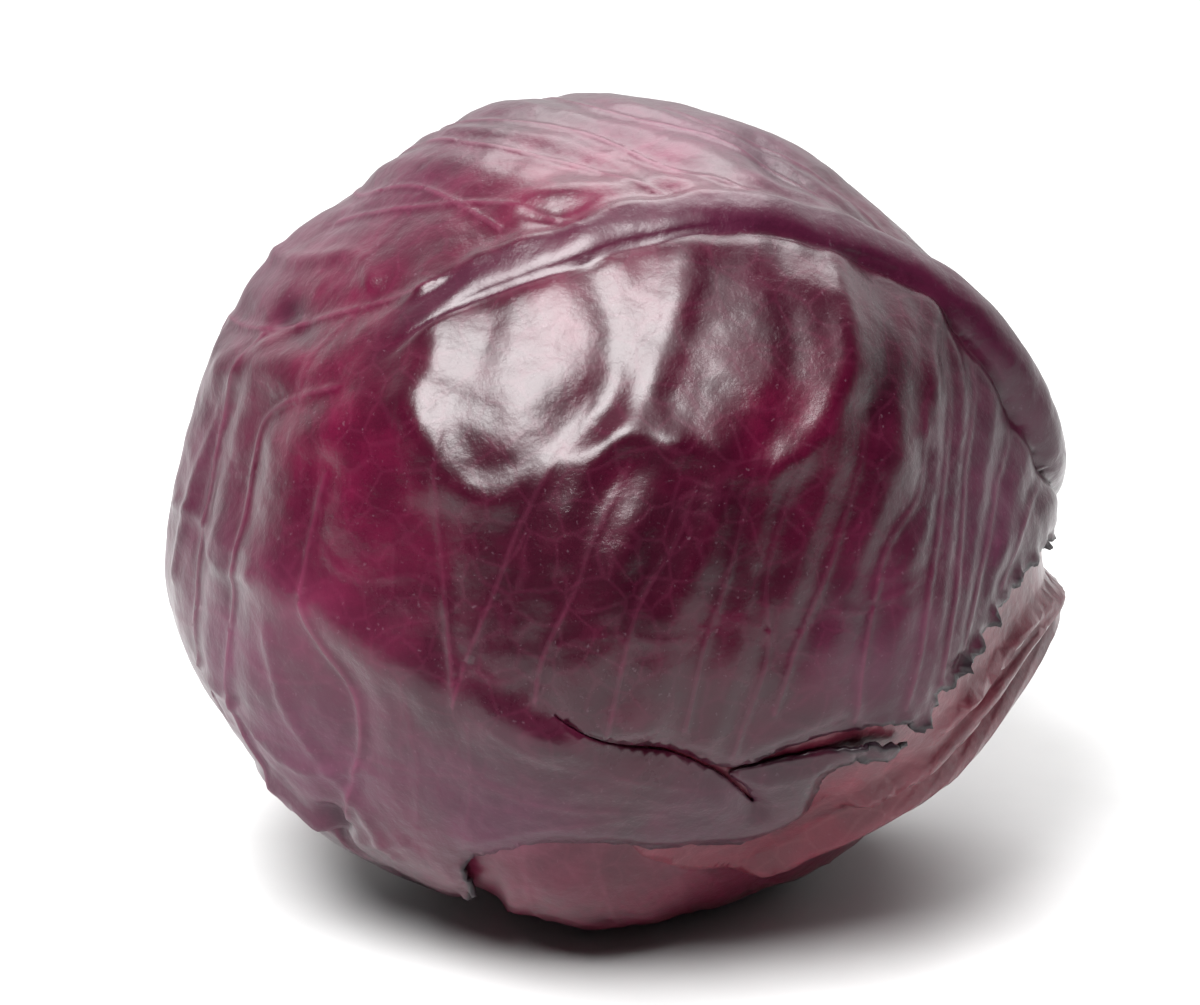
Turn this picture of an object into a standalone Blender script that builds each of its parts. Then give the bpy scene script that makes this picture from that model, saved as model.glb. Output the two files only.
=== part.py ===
"""A red cabbage head lying on its side: a dense heart, a cut stem stump and seven wrapper leaves.

Everything is placed by bearing and height, in degrees, as seen from the middle of the head.
Bearing 0 faces -Y and bearing 90 faces +X. Height 90 is straight up.
The stump points to the right, a little to the back and a little down.
"""

import bmesh
import bpy
import numpy as np

MM = 0.001

# Driving dimensions.
MIDDLE = np.array([1.4, -0.5, 75.3]) * MM  # of the head, above the surface that it lies on
ROUND_RADIUS = 89 * MM  # the round form that the flats are pressed into
EDGE_SHARPNESS = 22  # higher makes the edges between the flats crisper
LEAF_THICKNESS = 1.2 * MM
LAYER = 2.6 * MM  # from the outside of one leaf to the outside of the next, where they overlap
SLACK = 0.3 * MM  # how much deeper each leaf lies than the last, where they don't
LOWEST_LEAF = 2  # how many leaves grew outside the one that the head rests on
HEART_GAP = 0.7 * MM  # round the heart, below its leaves and behind the stump
STEM_RADIUS = 13.5 * MM
STEM_LENGTH = 14 * MM
STEM_END = 82 * MM  # the cut face, from the middle of the head
STEM_AT = (118, -12)

# Where the head is pressed flat: bearing, height, and how far the flat is from the middle, in mm.
FLATS = (
    (2, 39, 78.5),
    (-37, 50, 79),
    (-24, 12, 80),
    (22, 6, 79.5),
    (60, 16, 77.5),
    (12, -28, 79),
    (-31, -20, 82),
    (-72, -34, 87),
    (-66, 14, 80),
    (-68, 46, 79.5),
    (-10, 80, 77),
    (72, 56, 76),
    (66, -22, 80),
    (38, -46, 76.5),
    (0, -90, 76.4),
    (-40, -58, 82),
    (104, 12, 77),
    (110, 42, 73.5),
    (145, 64, 74.5),
    (100, -42, 79),
    (140, -15, 79),
    (158, 28, 77),
    (-150, 60, 78),
    (-110, 12, 79),
    (-120, -38, 81),
    (-160, -10, 80),
    (170, -50, 79),
    (-112, 45, 78),
)

# The outermost leaf was torn when the head was trimmed, so its margin has a shape of its own.
OUTER_LEAF_MIDDLE = (-15, 40)
OUTER_LEAF_MARGIN = (
    (107, -3),
    (95, -3),
    (84, -2),
    (72, -2),
    (61, -4),
    (51, -8),
    (43, -13),
    (36, -21),
    (35, -30),
    (33, -36),
    (15, -34),
    (4, -31),
    (-7, -28),
    (-16, -32),
    (-28, -37),
    (-33, -48),
    (-50, -60),
    (-85, -58),
    (-112, -45),
    (-135, -25),
    (-150, 0),
    (-165, 25),
    (-178, 48),
    (150, 55),
    (133, 38),
    (124, 20),
    (117, 6),
)
OUTER_LEAF_RIB = (
    (113, -2),
    (103, 1),
    (93, 8),
    (86, 24),
    (73, 44),
    (58, 52),
    (36, 58),
    (11, 57),
    (-9, 52),
    (-21, 47),
    (-32, 40),
    (-40, 33),
    (-47, 29),
)

# A whole leaf, seen from its own middle: degrees round from its stalk, and degrees out to its margin.
WHOLE_LEAF = ((0, 63), (10, 64), (30, 72), (60, 82), (100, 84), (150, 78), (180, 74))
STALK_TO_MIDDLE = 75  # degrees from the stem to the middle of a leaf
FIRST_TURN = -39  # where the second leaf stands round the stem, in degrees
LEAF_TURN = 137.5  # each leaf grows this far round the stem from the last
RIB_HEIGHTS = (6.5 * MM, 0.5 * MM)  # at the stalk and at the tip
RIB_WIDTHS = (6.0 * MM, 3.0 * MM)
RIB_REACH = 22  # degrees from the rib within which a leaf's points are drawn closer to it

# Names from the outside in, and how many squares each leaf's sheet has along a side.
LEAVES = (
    ("outer_leaf", 34),
    ("under_leaf", 24),
    ("back_leaf", 20),
    ("top_leaf", 18),
    ("low_leaf", 16),
    ("side_leaf", 18),
    ("inner_leaf", 16),
)


def bearing(degrees_round, degrees_up):
    """The unit direction of a bearing and a height."""
    around, up = np.radians(degrees_round), np.radians(degrees_up)
    return np.stack([np.sin(around) * np.cos(up), -np.cos(around) * np.cos(up), np.sin(up)], -1)


def head_radius(directions):
    """How far the head's outside is from its middle: the round form, pressed in at each flat."""
    total = np.full(len(directions), ROUND_RADIUS**-EDGE_SHARPNESS)
    for degrees_round, degrees_up, distance in FLATS:
        facing = np.maximum(directions @ bearing(degrees_round, degrees_up), 0)
        total += (facing / (distance * MM)) ** EDGE_SHARPNESS
    return total ** (-1 / EDGE_SHARPNESS)


def smooth_steps(value, start, end):
    """0 at start, 1 at end, and smooth between them."""
    share = np.clip((value - start) / (end - start), 0, 1)
    return share * share * (3 - 2 * share)


def smooth_line(points, closed, steps=12):
    """A Catmull-Rom curve through unit directions, with its points brought back to the sphere."""
    points = np.asarray(points, float)
    count = len(points)
    found = []
    for i in range(count if closed else count - 1):
        ring = [(i + k) % count if closed else min(max(i + k, 0), count - 1) for k in (-1, 0, 1, 2)]
        a, b, c, d = points[ring]
        for t in np.arange(steps) / steps:
            curve = 2 * b + (c - a) * t + (2 * a - 5 * b + 4 * c - d) * t**2
            found.append((curve + (3 * b - a - 3 * c + d) * t**3) / 2)
    if not closed:
        found.append(points[-1])
    found = np.array(found)
    return found / np.linalg.norm(found, axis=1)[:, None]


class Leaf:
    """Where one leaf lies on the head: its middle, its margin and its midrib."""

    def __init__(self, name, middle, stalk):
        self.name = name
        self.middle = middle
        along = stalk - middle * (stalk @ middle)
        self.along = along / np.linalg.norm(along)
        self.across = np.cross(middle, self.along)

    def spread(self, directions):
        """Degrees out from the leaf's middle, and the angle round it from the stalk's side."""
        out = np.degrees(np.arccos(np.clip(directions @ self.middle, -1, 1)))
        return out, np.arctan2(directions @ self.across, directions @ self.along)

    def directions(self, out, around):
        """The directions of points that many degrees out from the leaf's middle."""
        out, around = np.radians(out)[:, None], around[:, None]
        sideways = np.cos(around) * self.along + np.sin(around) * self.across
        return np.cos(out) * self.middle + np.sin(out) * sideways

    def set_margin(self, directions):
        out, around = self.spread(directions)
        order = np.argsort(around)
        self.margin_around, self.margin_out = around[order], out[order]

    def margin(self, around):
        return np.interp(around, self.margin_around, self.margin_out, period=2 * np.pi)

    def cover(self, directions):
        """1 under the leaf and 0 well clear of it, so that what lies under it dips as it nears."""
        out, around = self.spread(directions)
        return 1 - smooth_steps(out / self.margin(around), 1.06, 1.26)


def turned(axis, start, degrees):
    """A direction square to the axis, that many degrees round it from start."""
    angle = np.radians(degrees)
    return np.cos(angle) * start + np.sin(angle) * np.cross(axis, start)


def torn_outer_leaf(name):
    leaf = Leaf(name, bearing(*OUTER_LEAF_MIDDLE), bearing(*STEM_AT))
    leaf.set_margin(smooth_line([bearing(*p) for p in OUTER_LEAF_MARGIN], closed=True))
    leaf.rib = smooth_line([bearing(*p) for p in OUTER_LEAF_RIB], closed=False)
    return leaf


def whole_leaf(name, place):
    """A leaf that still has all of its margin, at its place in the spiral round the stem."""
    stem = bearing(*STEM_AT)
    level = np.cross(stem, [0, 0, 1])
    level = level / np.linalg.norm(level)
    sideways = turned(stem, level, FIRST_TURN + LEAF_TURN * place)
    reach = np.radians(STALK_TO_MIDDLE)
    leaf = Leaf(name, np.cos(reach) * stem + np.sin(reach) * sideways, stem)
    sides = np.array(WHOLE_LEAF, float)
    around = np.radians(np.arange(-180, 180, 5))
    out = np.interp(np.degrees(np.abs(around)), sides[:, 0], sides[:, 1])
    wave = 2.5 * np.sin(3 * around + place) * np.sin(around / 2) ** 2
    leaf.set_margin(leaf.directions(out + wave, around))
    rib_out = np.linspace(WHOLE_LEAF[0][1], -WHOLE_LEAF[-1][1] * 0.8, 24)
    leaf.rib = leaf.directions(np.abs(rib_out), np.where(rib_out > 0, 0.0, np.pi))
    return leaf


def nearest_on_rib(leaf, directions):
    """The nearest point of the leaf's midrib, how far along the rib it is, and how far away."""
    near = directions @ leaf.rib.T
    nearest = near.argmax(axis=1)
    away = np.arccos(np.clip(near.max(axis=1), -1, 1))
    return leaf.rib[nearest], nearest / (len(leaf.rib) - 1), away


def drawn_to_rib(leaf, directions):
    """The same points crowded towards the midrib, so that its narrow ridge has enough of them."""
    on_rib, _, away = nearest_on_rib(leaf, directions)
    share = np.minimum(away / np.radians(RIB_REACH), 1)
    drawn = on_rib + (directions - on_rib) * (share**0.5)[:, None]
    return drawn / np.linalg.norm(drawn, axis=1)[:, None]


def rib_height(leaf, directions):
    """How far the leaf's midrib stands out at these directions."""
    _, along, away = nearest_on_rib(leaf, directions)
    high, wide = (start + (end - start) * along**0.7 for start, end in (RIB_HEIGHTS, RIB_WIDTHS))
    return high * np.exp(-((away * head_radius(directions) / wide) ** 2))


def on_head(directions, depth, raised=0.0):
    """Points that far under the head's outside. The underside is flat where the head rests."""
    points = MIDDLE + directions * (head_radius(directions) - depth + raised)[:, None]
    points[:, 2] = np.maximum(points[:, 2], depth - SLACK * LOWEST_LEAF)
    return points


def place(mesh_vertices, points):
    for vertex, point in zip(mesh_vertices, points, strict=True):
        vertex.co = point


def material(name, colour, roughness):
    made = bpy.data.materials.new(name)
    made.use_nodes = True
    shader = made.node_tree.nodes["Principled BSDF"]
    shader.inputs["Base Color"].default_value = (*colour, 1)
    shader.inputs["Roughness"].default_value = roughness
    return made


def add_object(name, mesh_builder, collection, finish):
    mesh = bpy.data.meshes.new(name)
    bmesh.ops.recalc_face_normals(mesh_builder, faces=mesh_builder.faces)
    if mesh_builder.calc_volume(signed=True) < 0:
        bmesh.ops.reverse_faces(mesh_builder, faces=mesh_builder.faces)
    mesh_builder.to_mesh(mesh)
    mesh_builder.free()
    mesh.materials.append(finish)
    mesh.shade_smooth()
    mesh.set_sharp_from_angle(angle=np.radians(40))
    made = bpy.data.objects.new(name, mesh)
    collection.objects.link(made)
    return made


def leaf_solid(leaf, above, squares, collection, finish):
    """A square sheet and its copy drawn into the leaf's outline, one on each side of the leaf."""
    sheet = bmesh.new()
    bmesh.ops.create_grid(sheet, x_segments=squares, y_segments=squares, size=1)
    made = bmesh.ops.extrude_face_region(sheet, geom=list(sheet.faces), use_keep_orig=True)
    copied = {part for part in made["geom"] if isinstance(part, bmesh.types.BMVert)}
    inner_side = np.array([vertex in copied for vertex in sheet.verts])
    flat = np.array([vertex.co[:2] for vertex in sheet.verts])
    disc = flat * np.sqrt(1 - flat[:, ::-1] ** 2 / 2)
    around = np.arctan2(disc[:, 1], disc[:, 0])
    directions = leaf.directions(np.hypot(*disc.T) * leaf.margin(around), around)
    directions = drawn_to_rib(leaf, directions)

    cover = sum((other.cover(directions) for other in above), np.zeros(len(directions)))
    rib = rib_height(leaf, directions) * np.clip(1 - 4 * cover, 0, 1)
    depth = LAYER * cover + SLACK * len(above) + LEAF_THICKNESS * inner_side
    place(sheet.verts, on_head(directions, depth, np.where(inner_side, 0, rib)))
    return add_object(leaf.name, sheet, collection, finish)


def heart_solid(above, collection, finish):
    """The tightly packed inner leaves, as one dense body that the wrapper leaves lie on."""
    ball = bmesh.new()
    bmesh.ops.create_icosphere(ball, subdivisions=4, radius=1)
    directions = np.array([v.co.normalized() for v in ball.verts])
    cover = sum(leaf.cover(directions) for leaf in above)
    from_stem = np.degrees(np.arccos(np.clip(directions @ bearing(*STEM_AT), -1, 1)))
    seat = head_radius(directions) - (STEM_END - STEM_LENGTH - HEART_GAP)
    depth = np.maximum(LAYER * cover + SLACK * len(above) + HEART_GAP, seat * (1 - smooth_steps(from_stem, 20, 32)))
    place(ball.verts, on_head(directions, depth))
    return add_object("heart", ball, collection, finish)


def stem_stump(collection, finish):
    """What is left of the stem where the head was cut, with its cut edge rounded over."""
    bpy.ops.mesh.primitive_cylinder_add(vertices=32, radius=STEM_RADIUS, depth=STEM_LENGTH)
    made = bpy.context.object
    made.name = made.data.name = "stem_stump"
    stem = bearing(*STEM_AT)
    made.location = MIDDLE + stem * (STEM_END - STEM_LENGTH / 2)
    made.rotation_euler = (np.radians(90 - STEM_AT[1]), 0, np.radians(STEM_AT[0]))
    edge = made.modifiers.new("cut_edge", "BEVEL")
    edge.width = 1.2 * MM
    edge.segments = 2
    made.data.materials.append(finish)
    made.data.shade_smooth()
    made.data.set_sharp_from_angle(angle=np.radians(40))
    for other in made.users_collection:
        other.objects.unlink(made)
    collection.objects.link(made)


def main():
    for old in list(bpy.data.objects):
        bpy.data.objects.remove(old)
    collection = bpy.data.collections.new("cabbage_head")
    bpy.context.scene.collection.children.link(collection)
    skin = material("outer_leaf_skin", (0.10, 0.006, 0.03), 0.32)
    pale = material("inner_leaf_skin", (0.30, 0.05, 0.09), 0.4)
    heart = material("heart_skin", (0.24, 0.03, 0.08), 0.4)
    cut = material("cut_stem", (0.72, 0.62, 0.52), 0.7)

    leaves = [torn_outer_leaf(LEAVES[0][0])]
    leaves += [whole_leaf(name, place_in_turn) for place_in_turn, (name, _) in enumerate(LEAVES[1:])]
    for i, leaf in enumerate(leaves):
        leaf_solid(leaf, leaves[:i], LEAVES[i][1], collection, pale if i else skin)
    heart_solid(leaves, collection, heart)
    stem_stump(collection, cut)


main()
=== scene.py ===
# %% [markdown]
# # A head of red cabbage, lying on its side
# The head is a ball of leaves that wrap each other in a spiral about a short stem.
# One big outer leaf faces us, with its thick midrib running over the top to the stem on the right.
# It was torn when the head was trimmed, and a pinker leaf shows under the tear.
# The simple solids come from the CAD model, and this lesson builds the leaves that are seen over them.

import bmesh
import bpy
import numpy as np
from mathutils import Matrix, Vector, geometry, kdtree, noise


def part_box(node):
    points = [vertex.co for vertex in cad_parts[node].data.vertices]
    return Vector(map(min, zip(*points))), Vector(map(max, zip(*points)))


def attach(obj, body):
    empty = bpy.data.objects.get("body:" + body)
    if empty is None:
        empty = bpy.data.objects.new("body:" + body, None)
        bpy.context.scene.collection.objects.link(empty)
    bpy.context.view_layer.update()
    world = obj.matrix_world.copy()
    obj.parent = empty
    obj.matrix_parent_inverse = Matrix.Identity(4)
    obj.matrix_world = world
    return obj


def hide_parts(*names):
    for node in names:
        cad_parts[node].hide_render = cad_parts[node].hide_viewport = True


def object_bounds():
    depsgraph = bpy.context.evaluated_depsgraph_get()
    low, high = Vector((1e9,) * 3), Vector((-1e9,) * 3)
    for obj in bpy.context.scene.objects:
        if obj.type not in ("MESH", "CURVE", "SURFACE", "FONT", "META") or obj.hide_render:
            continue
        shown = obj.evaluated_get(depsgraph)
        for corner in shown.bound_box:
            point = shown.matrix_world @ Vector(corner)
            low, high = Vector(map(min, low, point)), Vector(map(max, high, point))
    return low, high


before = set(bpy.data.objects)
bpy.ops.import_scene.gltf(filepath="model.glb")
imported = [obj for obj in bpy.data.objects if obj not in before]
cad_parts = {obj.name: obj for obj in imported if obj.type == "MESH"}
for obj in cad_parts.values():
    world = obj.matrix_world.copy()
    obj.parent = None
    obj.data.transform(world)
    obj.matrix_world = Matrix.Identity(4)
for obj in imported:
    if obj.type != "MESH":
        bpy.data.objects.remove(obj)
cad_low, cad_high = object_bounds()
print("CAD nodes:", ", ".join(sorted(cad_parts)))

# %% [markdown]
# ## Bearings
# A place on a round head is easiest to give as a bearing and a height, in degrees, as on a globe.
# Bearing 0 faces us, bearing 90 is to our right, and height 90 is the very top.

# %% Bearings
MM = 0.001
MIDDLE = np.array((cad_low + cad_high) / 2) + np.array([1.4, -0.6, -0.9]) * MM


def bearing(degrees_round, degrees_up):
    """The unit direction of a bearing and a height."""
    around, up = np.radians(degrees_round), np.radians(degrees_up)
    return np.stack([np.sin(around) * np.cos(up), -np.cos(around) * np.cos(up), np.sin(up)], -1)


def smooth_steps(value, start, end):
    """0 at start, 1 at end, and smooth between them."""
    share = np.clip((value - start) / (end - start), 0, 1)
    return share * share * (3 - 2 * share)


print("middle of the head:", np.round(MIDDLE, 4))

# %% [markdown]
# ## The form of the head
# A tightly packed head isn't a ball. Its leaves pull flat between their ribs, so it has broad flats with
# soft edges between them. Each flat is a plane at some distance from the middle. Taking the nearest plane
# in every direction would give a cut gem, so a smooth minimum rounds the edges where the planes meet.

# %% The form of the head
HEAD_MM = 79  # about how far the skin is from the middle
ROUND_RADIUS = 89
EDGE_SHARPNESS = 22
FLATS = (
    (2, 39, 78.5),
    (-37, 50, 79),
    (-24, 12, 80),
    (22, 6, 79.5),
    (60, 16, 77.5),
    (12, -28, 79),
    (-31, -20, 82),
    (-72, -34, 87),
    (-66, 14, 80),
    (-68, 46, 79.5),
    (-10, 80, 77),
    (72, 56, 76),
    (66, -22, 80),
    (38, -46, 76.5),
    (0, -90, 76.4),
    (-40, -58, 82),
    (104, 12, 77),
    (110, 42, 73.5),
    (145, 64, 74.5),
    (100, -42, 79),
    (140, -15, 79),
    (158, 28, 77),
    (-150, 60, 78),
    (-110, 12, 79),
    (-120, -38, 81),
    (-160, -10, 80),
    (170, -50, 79),
    (-112, 45, 78),
)


def head_radius(directions):
    """Millimetres from the middle of the head to its outside."""
    total = np.full(len(directions), float(ROUND_RADIUS) ** -EDGE_SHARPNESS)
    for degrees_round, degrees_up, distance in FLATS:
        facing = np.maximum(directions @ bearing(degrees_round, degrees_up), 0)
        total += (facing / distance) ** EDGE_SHARPNESS
    return total ** (-1 / EDGE_SHARPNESS)


print(len(FLATS), "flats")

# %% [markdown]
# ## Curves on the head
# Veins, ribs and margins are lines drawn on the head. A few bearings give each one, and a Catmull-Rom
# curve runs smoothly through them. The points are then brought back to the unit sphere.

# %% Curves on the head


def smooth_line(points, closed=False, steps=12):
    """A Catmull-Rom curve through unit directions."""
    points = np.asarray(points, float)
    count = len(points)
    found = []
    for i in range(count if closed else count - 1):
        ring = [(i + k) % count if closed else min(max(i + k, 0), count - 1) for k in (-1, 0, 1, 2)]
        a, b, c, d = points[ring]
        for t in np.arange(steps) / steps:
            curve = 2 * b + (c - a) * t + (2 * a - 5 * b + 4 * c - d) * t**2
            found.append((curve + (3 * b - a - 3 * c + d) * t**3) / 2)
    if not closed:
        found.append(points[-1])
    found = np.array(found)
    return found / np.linalg.norm(found, axis=-1, keepdims=True)


def even_steps(line, spacing):
    """The same line with its points evenly spaced, in the units of the line."""
    lengths = np.linalg.norm(np.diff(line, axis=0), axis=1)
    along = np.concatenate([[0], np.cumsum(lengths)])
    wanted = np.linspace(0, along[-1], max(2, int(round(along[-1] / spacing)) + 1))
    return np.stack([np.interp(wanted, along, line[:, k]) for k in range(line.shape[1])], -1)


def on_bearings(places):
    return np.array([bearing(*place[:2]) for place in places])


class Nearest:
    """Finds the nearest of many points, for measuring how far a place is from a line."""

    def __init__(self, points):
        self.tree = kdtree.KDTree(len(points))
        for i, point in enumerate(points):
            self.tree.insert(point, i)
        self.tree.balance()

    def __call__(self, places):
        """Which point is nearest to each place, and its distance."""
        found = [self.tree.find(place)[1:] for place in places]
        return np.array([f[0] for f in found]), np.array([f[1] for f in found])


# %% [markdown]
# ## A leaf lying on the head
# Each leaf is worked out on its own flat map: degrees out from its middle, with its stalk to the right.
# The map's margin tells every leaf below how far it is covered, so that leaf can lie one layer deeper.

# %% A leaf lying on the head
STEM = bearing(118, -12)


class Leaf:
    """Where one leaf lies: its middle, its stalk's side, its margin and its ribs."""

    def __init__(self, middle):
        self.middle = middle
        along = STEM - middle * (STEM @ middle)
        self.along = along / np.linalg.norm(along)
        self.across = np.cross(middle, self.along)

    def on_map(self, directions):
        """Places on the leaf's flat map, in degrees."""
        out = np.degrees(np.arccos(np.clip(directions @ self.middle, -1, 1)))
        around = np.arctan2(directions @ self.across, directions @ self.along)
        return np.stack([out * np.cos(around), out * np.sin(around)], -1)

    def on_head(self, places):
        """The directions of places on the leaf's flat map."""
        out = np.radians(np.hypot(places[:, 0], places[:, 1]))[:, None]
        around = np.arctan2(places[:, 1], places[:, 0])[:, None]
        sideways = np.cos(around) * self.along + np.sin(around) * self.across
        return np.cos(out) * self.middle + np.sin(out) * sideways

    def set_outline(self, places):
        """Keeps the outline, and for each of 72 ways round the leaf, how far out its margin is."""
        self.outline = places
        around = np.degrees(np.arctan2(places[:, 1], places[:, 0]))
        out = np.hypot(places[:, 0], places[:, 1])
        ways = np.round(around / 5).astype(int) % 72
        reach = np.array([out[ways == way].max(initial=0) for way in range(72)])
        known = np.flatnonzero(reach)
        self.reach = np.interp(np.arange(72), known, reach[known], period=72)

    def cover(self, directions, start=1.01, end=1.13):
        """1 under the leaf, and 0 clear of it."""
        places = self.on_map(directions)
        way = np.degrees(np.arctan2(places[:, 1], places[:, 0])) / 5
        margin = np.interp(way, np.arange(72), self.reach, period=72)
        return 1 - smooth_steps(np.hypot(places[:, 0], places[:, 1]) / margin, start, end)


# %% [markdown]
# ## The outer leaf's margin
# Most of its margin is hidden round the back. The part that we see is torn: a ragged edge runs in from the
# stem, turns into a long slit, comes back along the slit's lower lip and then goes round the loose flap.
# The third number says how ragged the edge is there, in millimetres.

# %% The outer leaf's margin
OUTER_LEAF_MIDDLE = (-15, 40)
OUTER_LEAF_MARGIN = (
    (107, -3, 0.4),
    (96, -4, 0.8),
    (89, -4, 0.8),
    (78, -2, 1.0),
    (67, -3, 1.7),
    (58, -6, 1.9),
    (51, -9, 2.0),
    (46, -12, 2.0),
    (43, -16, 1.7),
    (38, -14, 0.9),
    (33, -14.6, 0.7),
    (28, -15, 0.4),
    (22, -16.8, 0.3),
    (14.5, -19, 0.2),
    (6, -14.3, 0.2),
    (-1, -12, 0.1),
    (-9, -7.6, 0),
    (-1, -12.5, 0.1),
    (6, -15.0, 0.2),
    (13.6, -20.2, 0.2),
    (17, -23.5, 0.1),
    (20.5, -27.6, 0),
    (18, -23.2, 0.1),
    (15.4, -20.4, 0.2),
    (22, -18.6, 0.4),
    (28, -17.6, 0.6),
    (33, -17.0, 1.1),
    (38, -17.6, 1.5),
    (42, -19.4, 1.6),
    (38.5, -20.6, 1.5),
    (33.5, -20.2, 1.0),
    (31, -22.5, 0.6),
    (31, -28, 0.5),
    (31.5, -33, 0.5),
    (28, -36, 0.6),
    (21, -37, 0.8),
    (12, -36.2, 0.6),
    (5, -35, 0.6),
    (0, -33, 0.6),
    (-7, -31.5, 0.4),
    (-13, -31, 0.4),
    (-20, -33.5, 0.5),
    (-26, -37, 0.9),
    (-27, -43, 1.2),
    (-33, -50, 0.9),
    (-46, -59, 0.5),
    (-85, -58, 0.4),
    (-112, -45, 0.5),
    (-135, -25, 0.5),
    (-150, 0, 0.5),
    (-165, 25, 0.5),
    (-178, 48, 0.5),
    (150, 55, 0.5),
    (133, 38, 0.5),
    (124, 20, 0.4),
    (117, 6, 0.3),
)


def torn_outline(leaf, margin, spacing):
    """The margin on the leaf's flat map, with small bites and teeth where it is ragged."""
    line = smooth_line(on_bearings(margin), closed=True, steps=10)
    ragged = np.interp(np.arange(len(line)) / 10, np.arange(len(margin)), [m[2] for m in margin])
    places = leaf.on_map(line)
    closed = np.vstack([np.column_stack([places, ragged]), [*places[0], ragged[0]]])
    lengths = np.hypot(*np.diff(closed[:, :2], axis=0).T)
    along = np.concatenate([[0], np.cumsum(lengths)])
    wanted = np.linspace(0, along[-1], int(along[-1] / spacing), endpoint=False)
    evened = np.stack([np.interp(wanted, along, closed[:, k]) for k in range(3)], -1)
    path = evened[:, :2]
    ahead = np.roll(path, -1, axis=0) - np.roll(path, 1, axis=0)
    outward = np.column_stack([ahead[:, 1], -ahead[:, 0]]) / np.hypot(*ahead.T)[:, None]
    leaf.ragged = evened[:, 2]
    teeth = [noise.noise((s * 0.5, 0, 3)) + 0.8 * noise.noise((s * 1.3, 5, 0)) for s in wanted]
    return path + outward * (np.array(teeth) * evened[:, 2] * 0.75)[:, None]


# %% [markdown]
# ## The whole wrapper leaves
# The other leaves kept all of their margins. Each grows 137.5 degrees round the stem from the last, the
# angle that most plants use, so no two lie right over each other. The margins are only gently wavy.

# %% The whole wrapper leaves
WHOLE_LEAF = ((0, 63), (10, 64), (30, 72), (60, 82), (100, 84), (150, 78), (180, 74))
STALK_TO_MIDDLE = 75
FIRST_TURN = -39
LEAF_TURN = 137.5


def turned(axis, start, degrees):
    angle = np.radians(degrees)
    return np.cos(angle) * start + np.sin(angle) * np.cross(axis, start)


def whole_leaf(place):
    """A leaf at its place in the spiral round the stem, with its outline and its midrib."""
    level = np.cross(STEM, [0, 0, 1])
    sideways = turned(STEM, level / np.linalg.norm(level), FIRST_TURN + LEAF_TURN * place)
    reach = np.radians(STALK_TO_MIDDLE)
    leaf = Leaf(np.cos(reach) * STEM + np.sin(reach) * sideways)
    sides = np.array(WHOLE_LEAF, float)
    around = np.radians(np.arange(-180, 180, 1.0))
    out = np.interp(np.degrees(np.abs(around)), sides[:, 0], sides[:, 1])
    out = np.convolve(np.concatenate([out[-8:], out, out[:8]]), np.ones(17) / 17, mode="valid")
    wave = 2.5 * np.sin(3 * around + place) + 0.7 * np.sin(17 * around) + 0.4 * np.sin(41 * around)
    out = out + wave * np.sin(around / 2) ** 2
    leaf.set_outline(np.column_stack([out * np.cos(around), out * np.sin(around)]))
    along_rib = np.linspace(63, -60, 30)
    leaf.rib = leaf.on_head(np.column_stack([along_rib, 1.5 * np.sin(along_rib / 20)]))
    leaf.veins = whole_leaf_veins(leaf, place)
    return leaf


# %% [markdown]
# ## Veins
# Side veins leave the midrib in pairs that don't quite face each other, and they bend towards the tip.
# Finer veins link them like the rungs of a ladder. Each vein is a line with a height in millimetres.

# %% Veins of the whole leaves
SIDE_VEIN, LINK_VEIN = 0.5, 0.22


def whole_leaf_veins(leaf, place):
    """(heights at its ends, unit directions) of each side vein and of the veins between them."""
    veins = []
    for side in (-1, 1):
        last = None
        for k, start in enumerate(np.arange(54 - 3.5 * side, -50, -12.5)):
            t = np.linspace(0, 1, 12)
            reach = 66 - 0.2 * abs(start)
            bend = 2 * np.sin(5 * t + place + k)
            line = np.column_stack([start - reach * 0.62 * t**1.25 + bend, side * reach * t])
            line = line[np.hypot(*line.T) < 80]
            veins.append((SIDE_VEIN, SIDE_VEIN * 0.6, leaf.on_head(line)))
            if last is not None:
                for at in (3, 5, 7, 9):
                    if at < min(len(line), len(last)):
                        rung = np.linspace(last[at - 1], line[at], 5)
                        rung[:, 1] += 1.5 * np.sin(np.linspace(0, 6, 5) + k)
                        veins.append((LINK_VEIN, LINK_VEIN, leaf.on_head(rung)))
            last = line
    return veins
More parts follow.
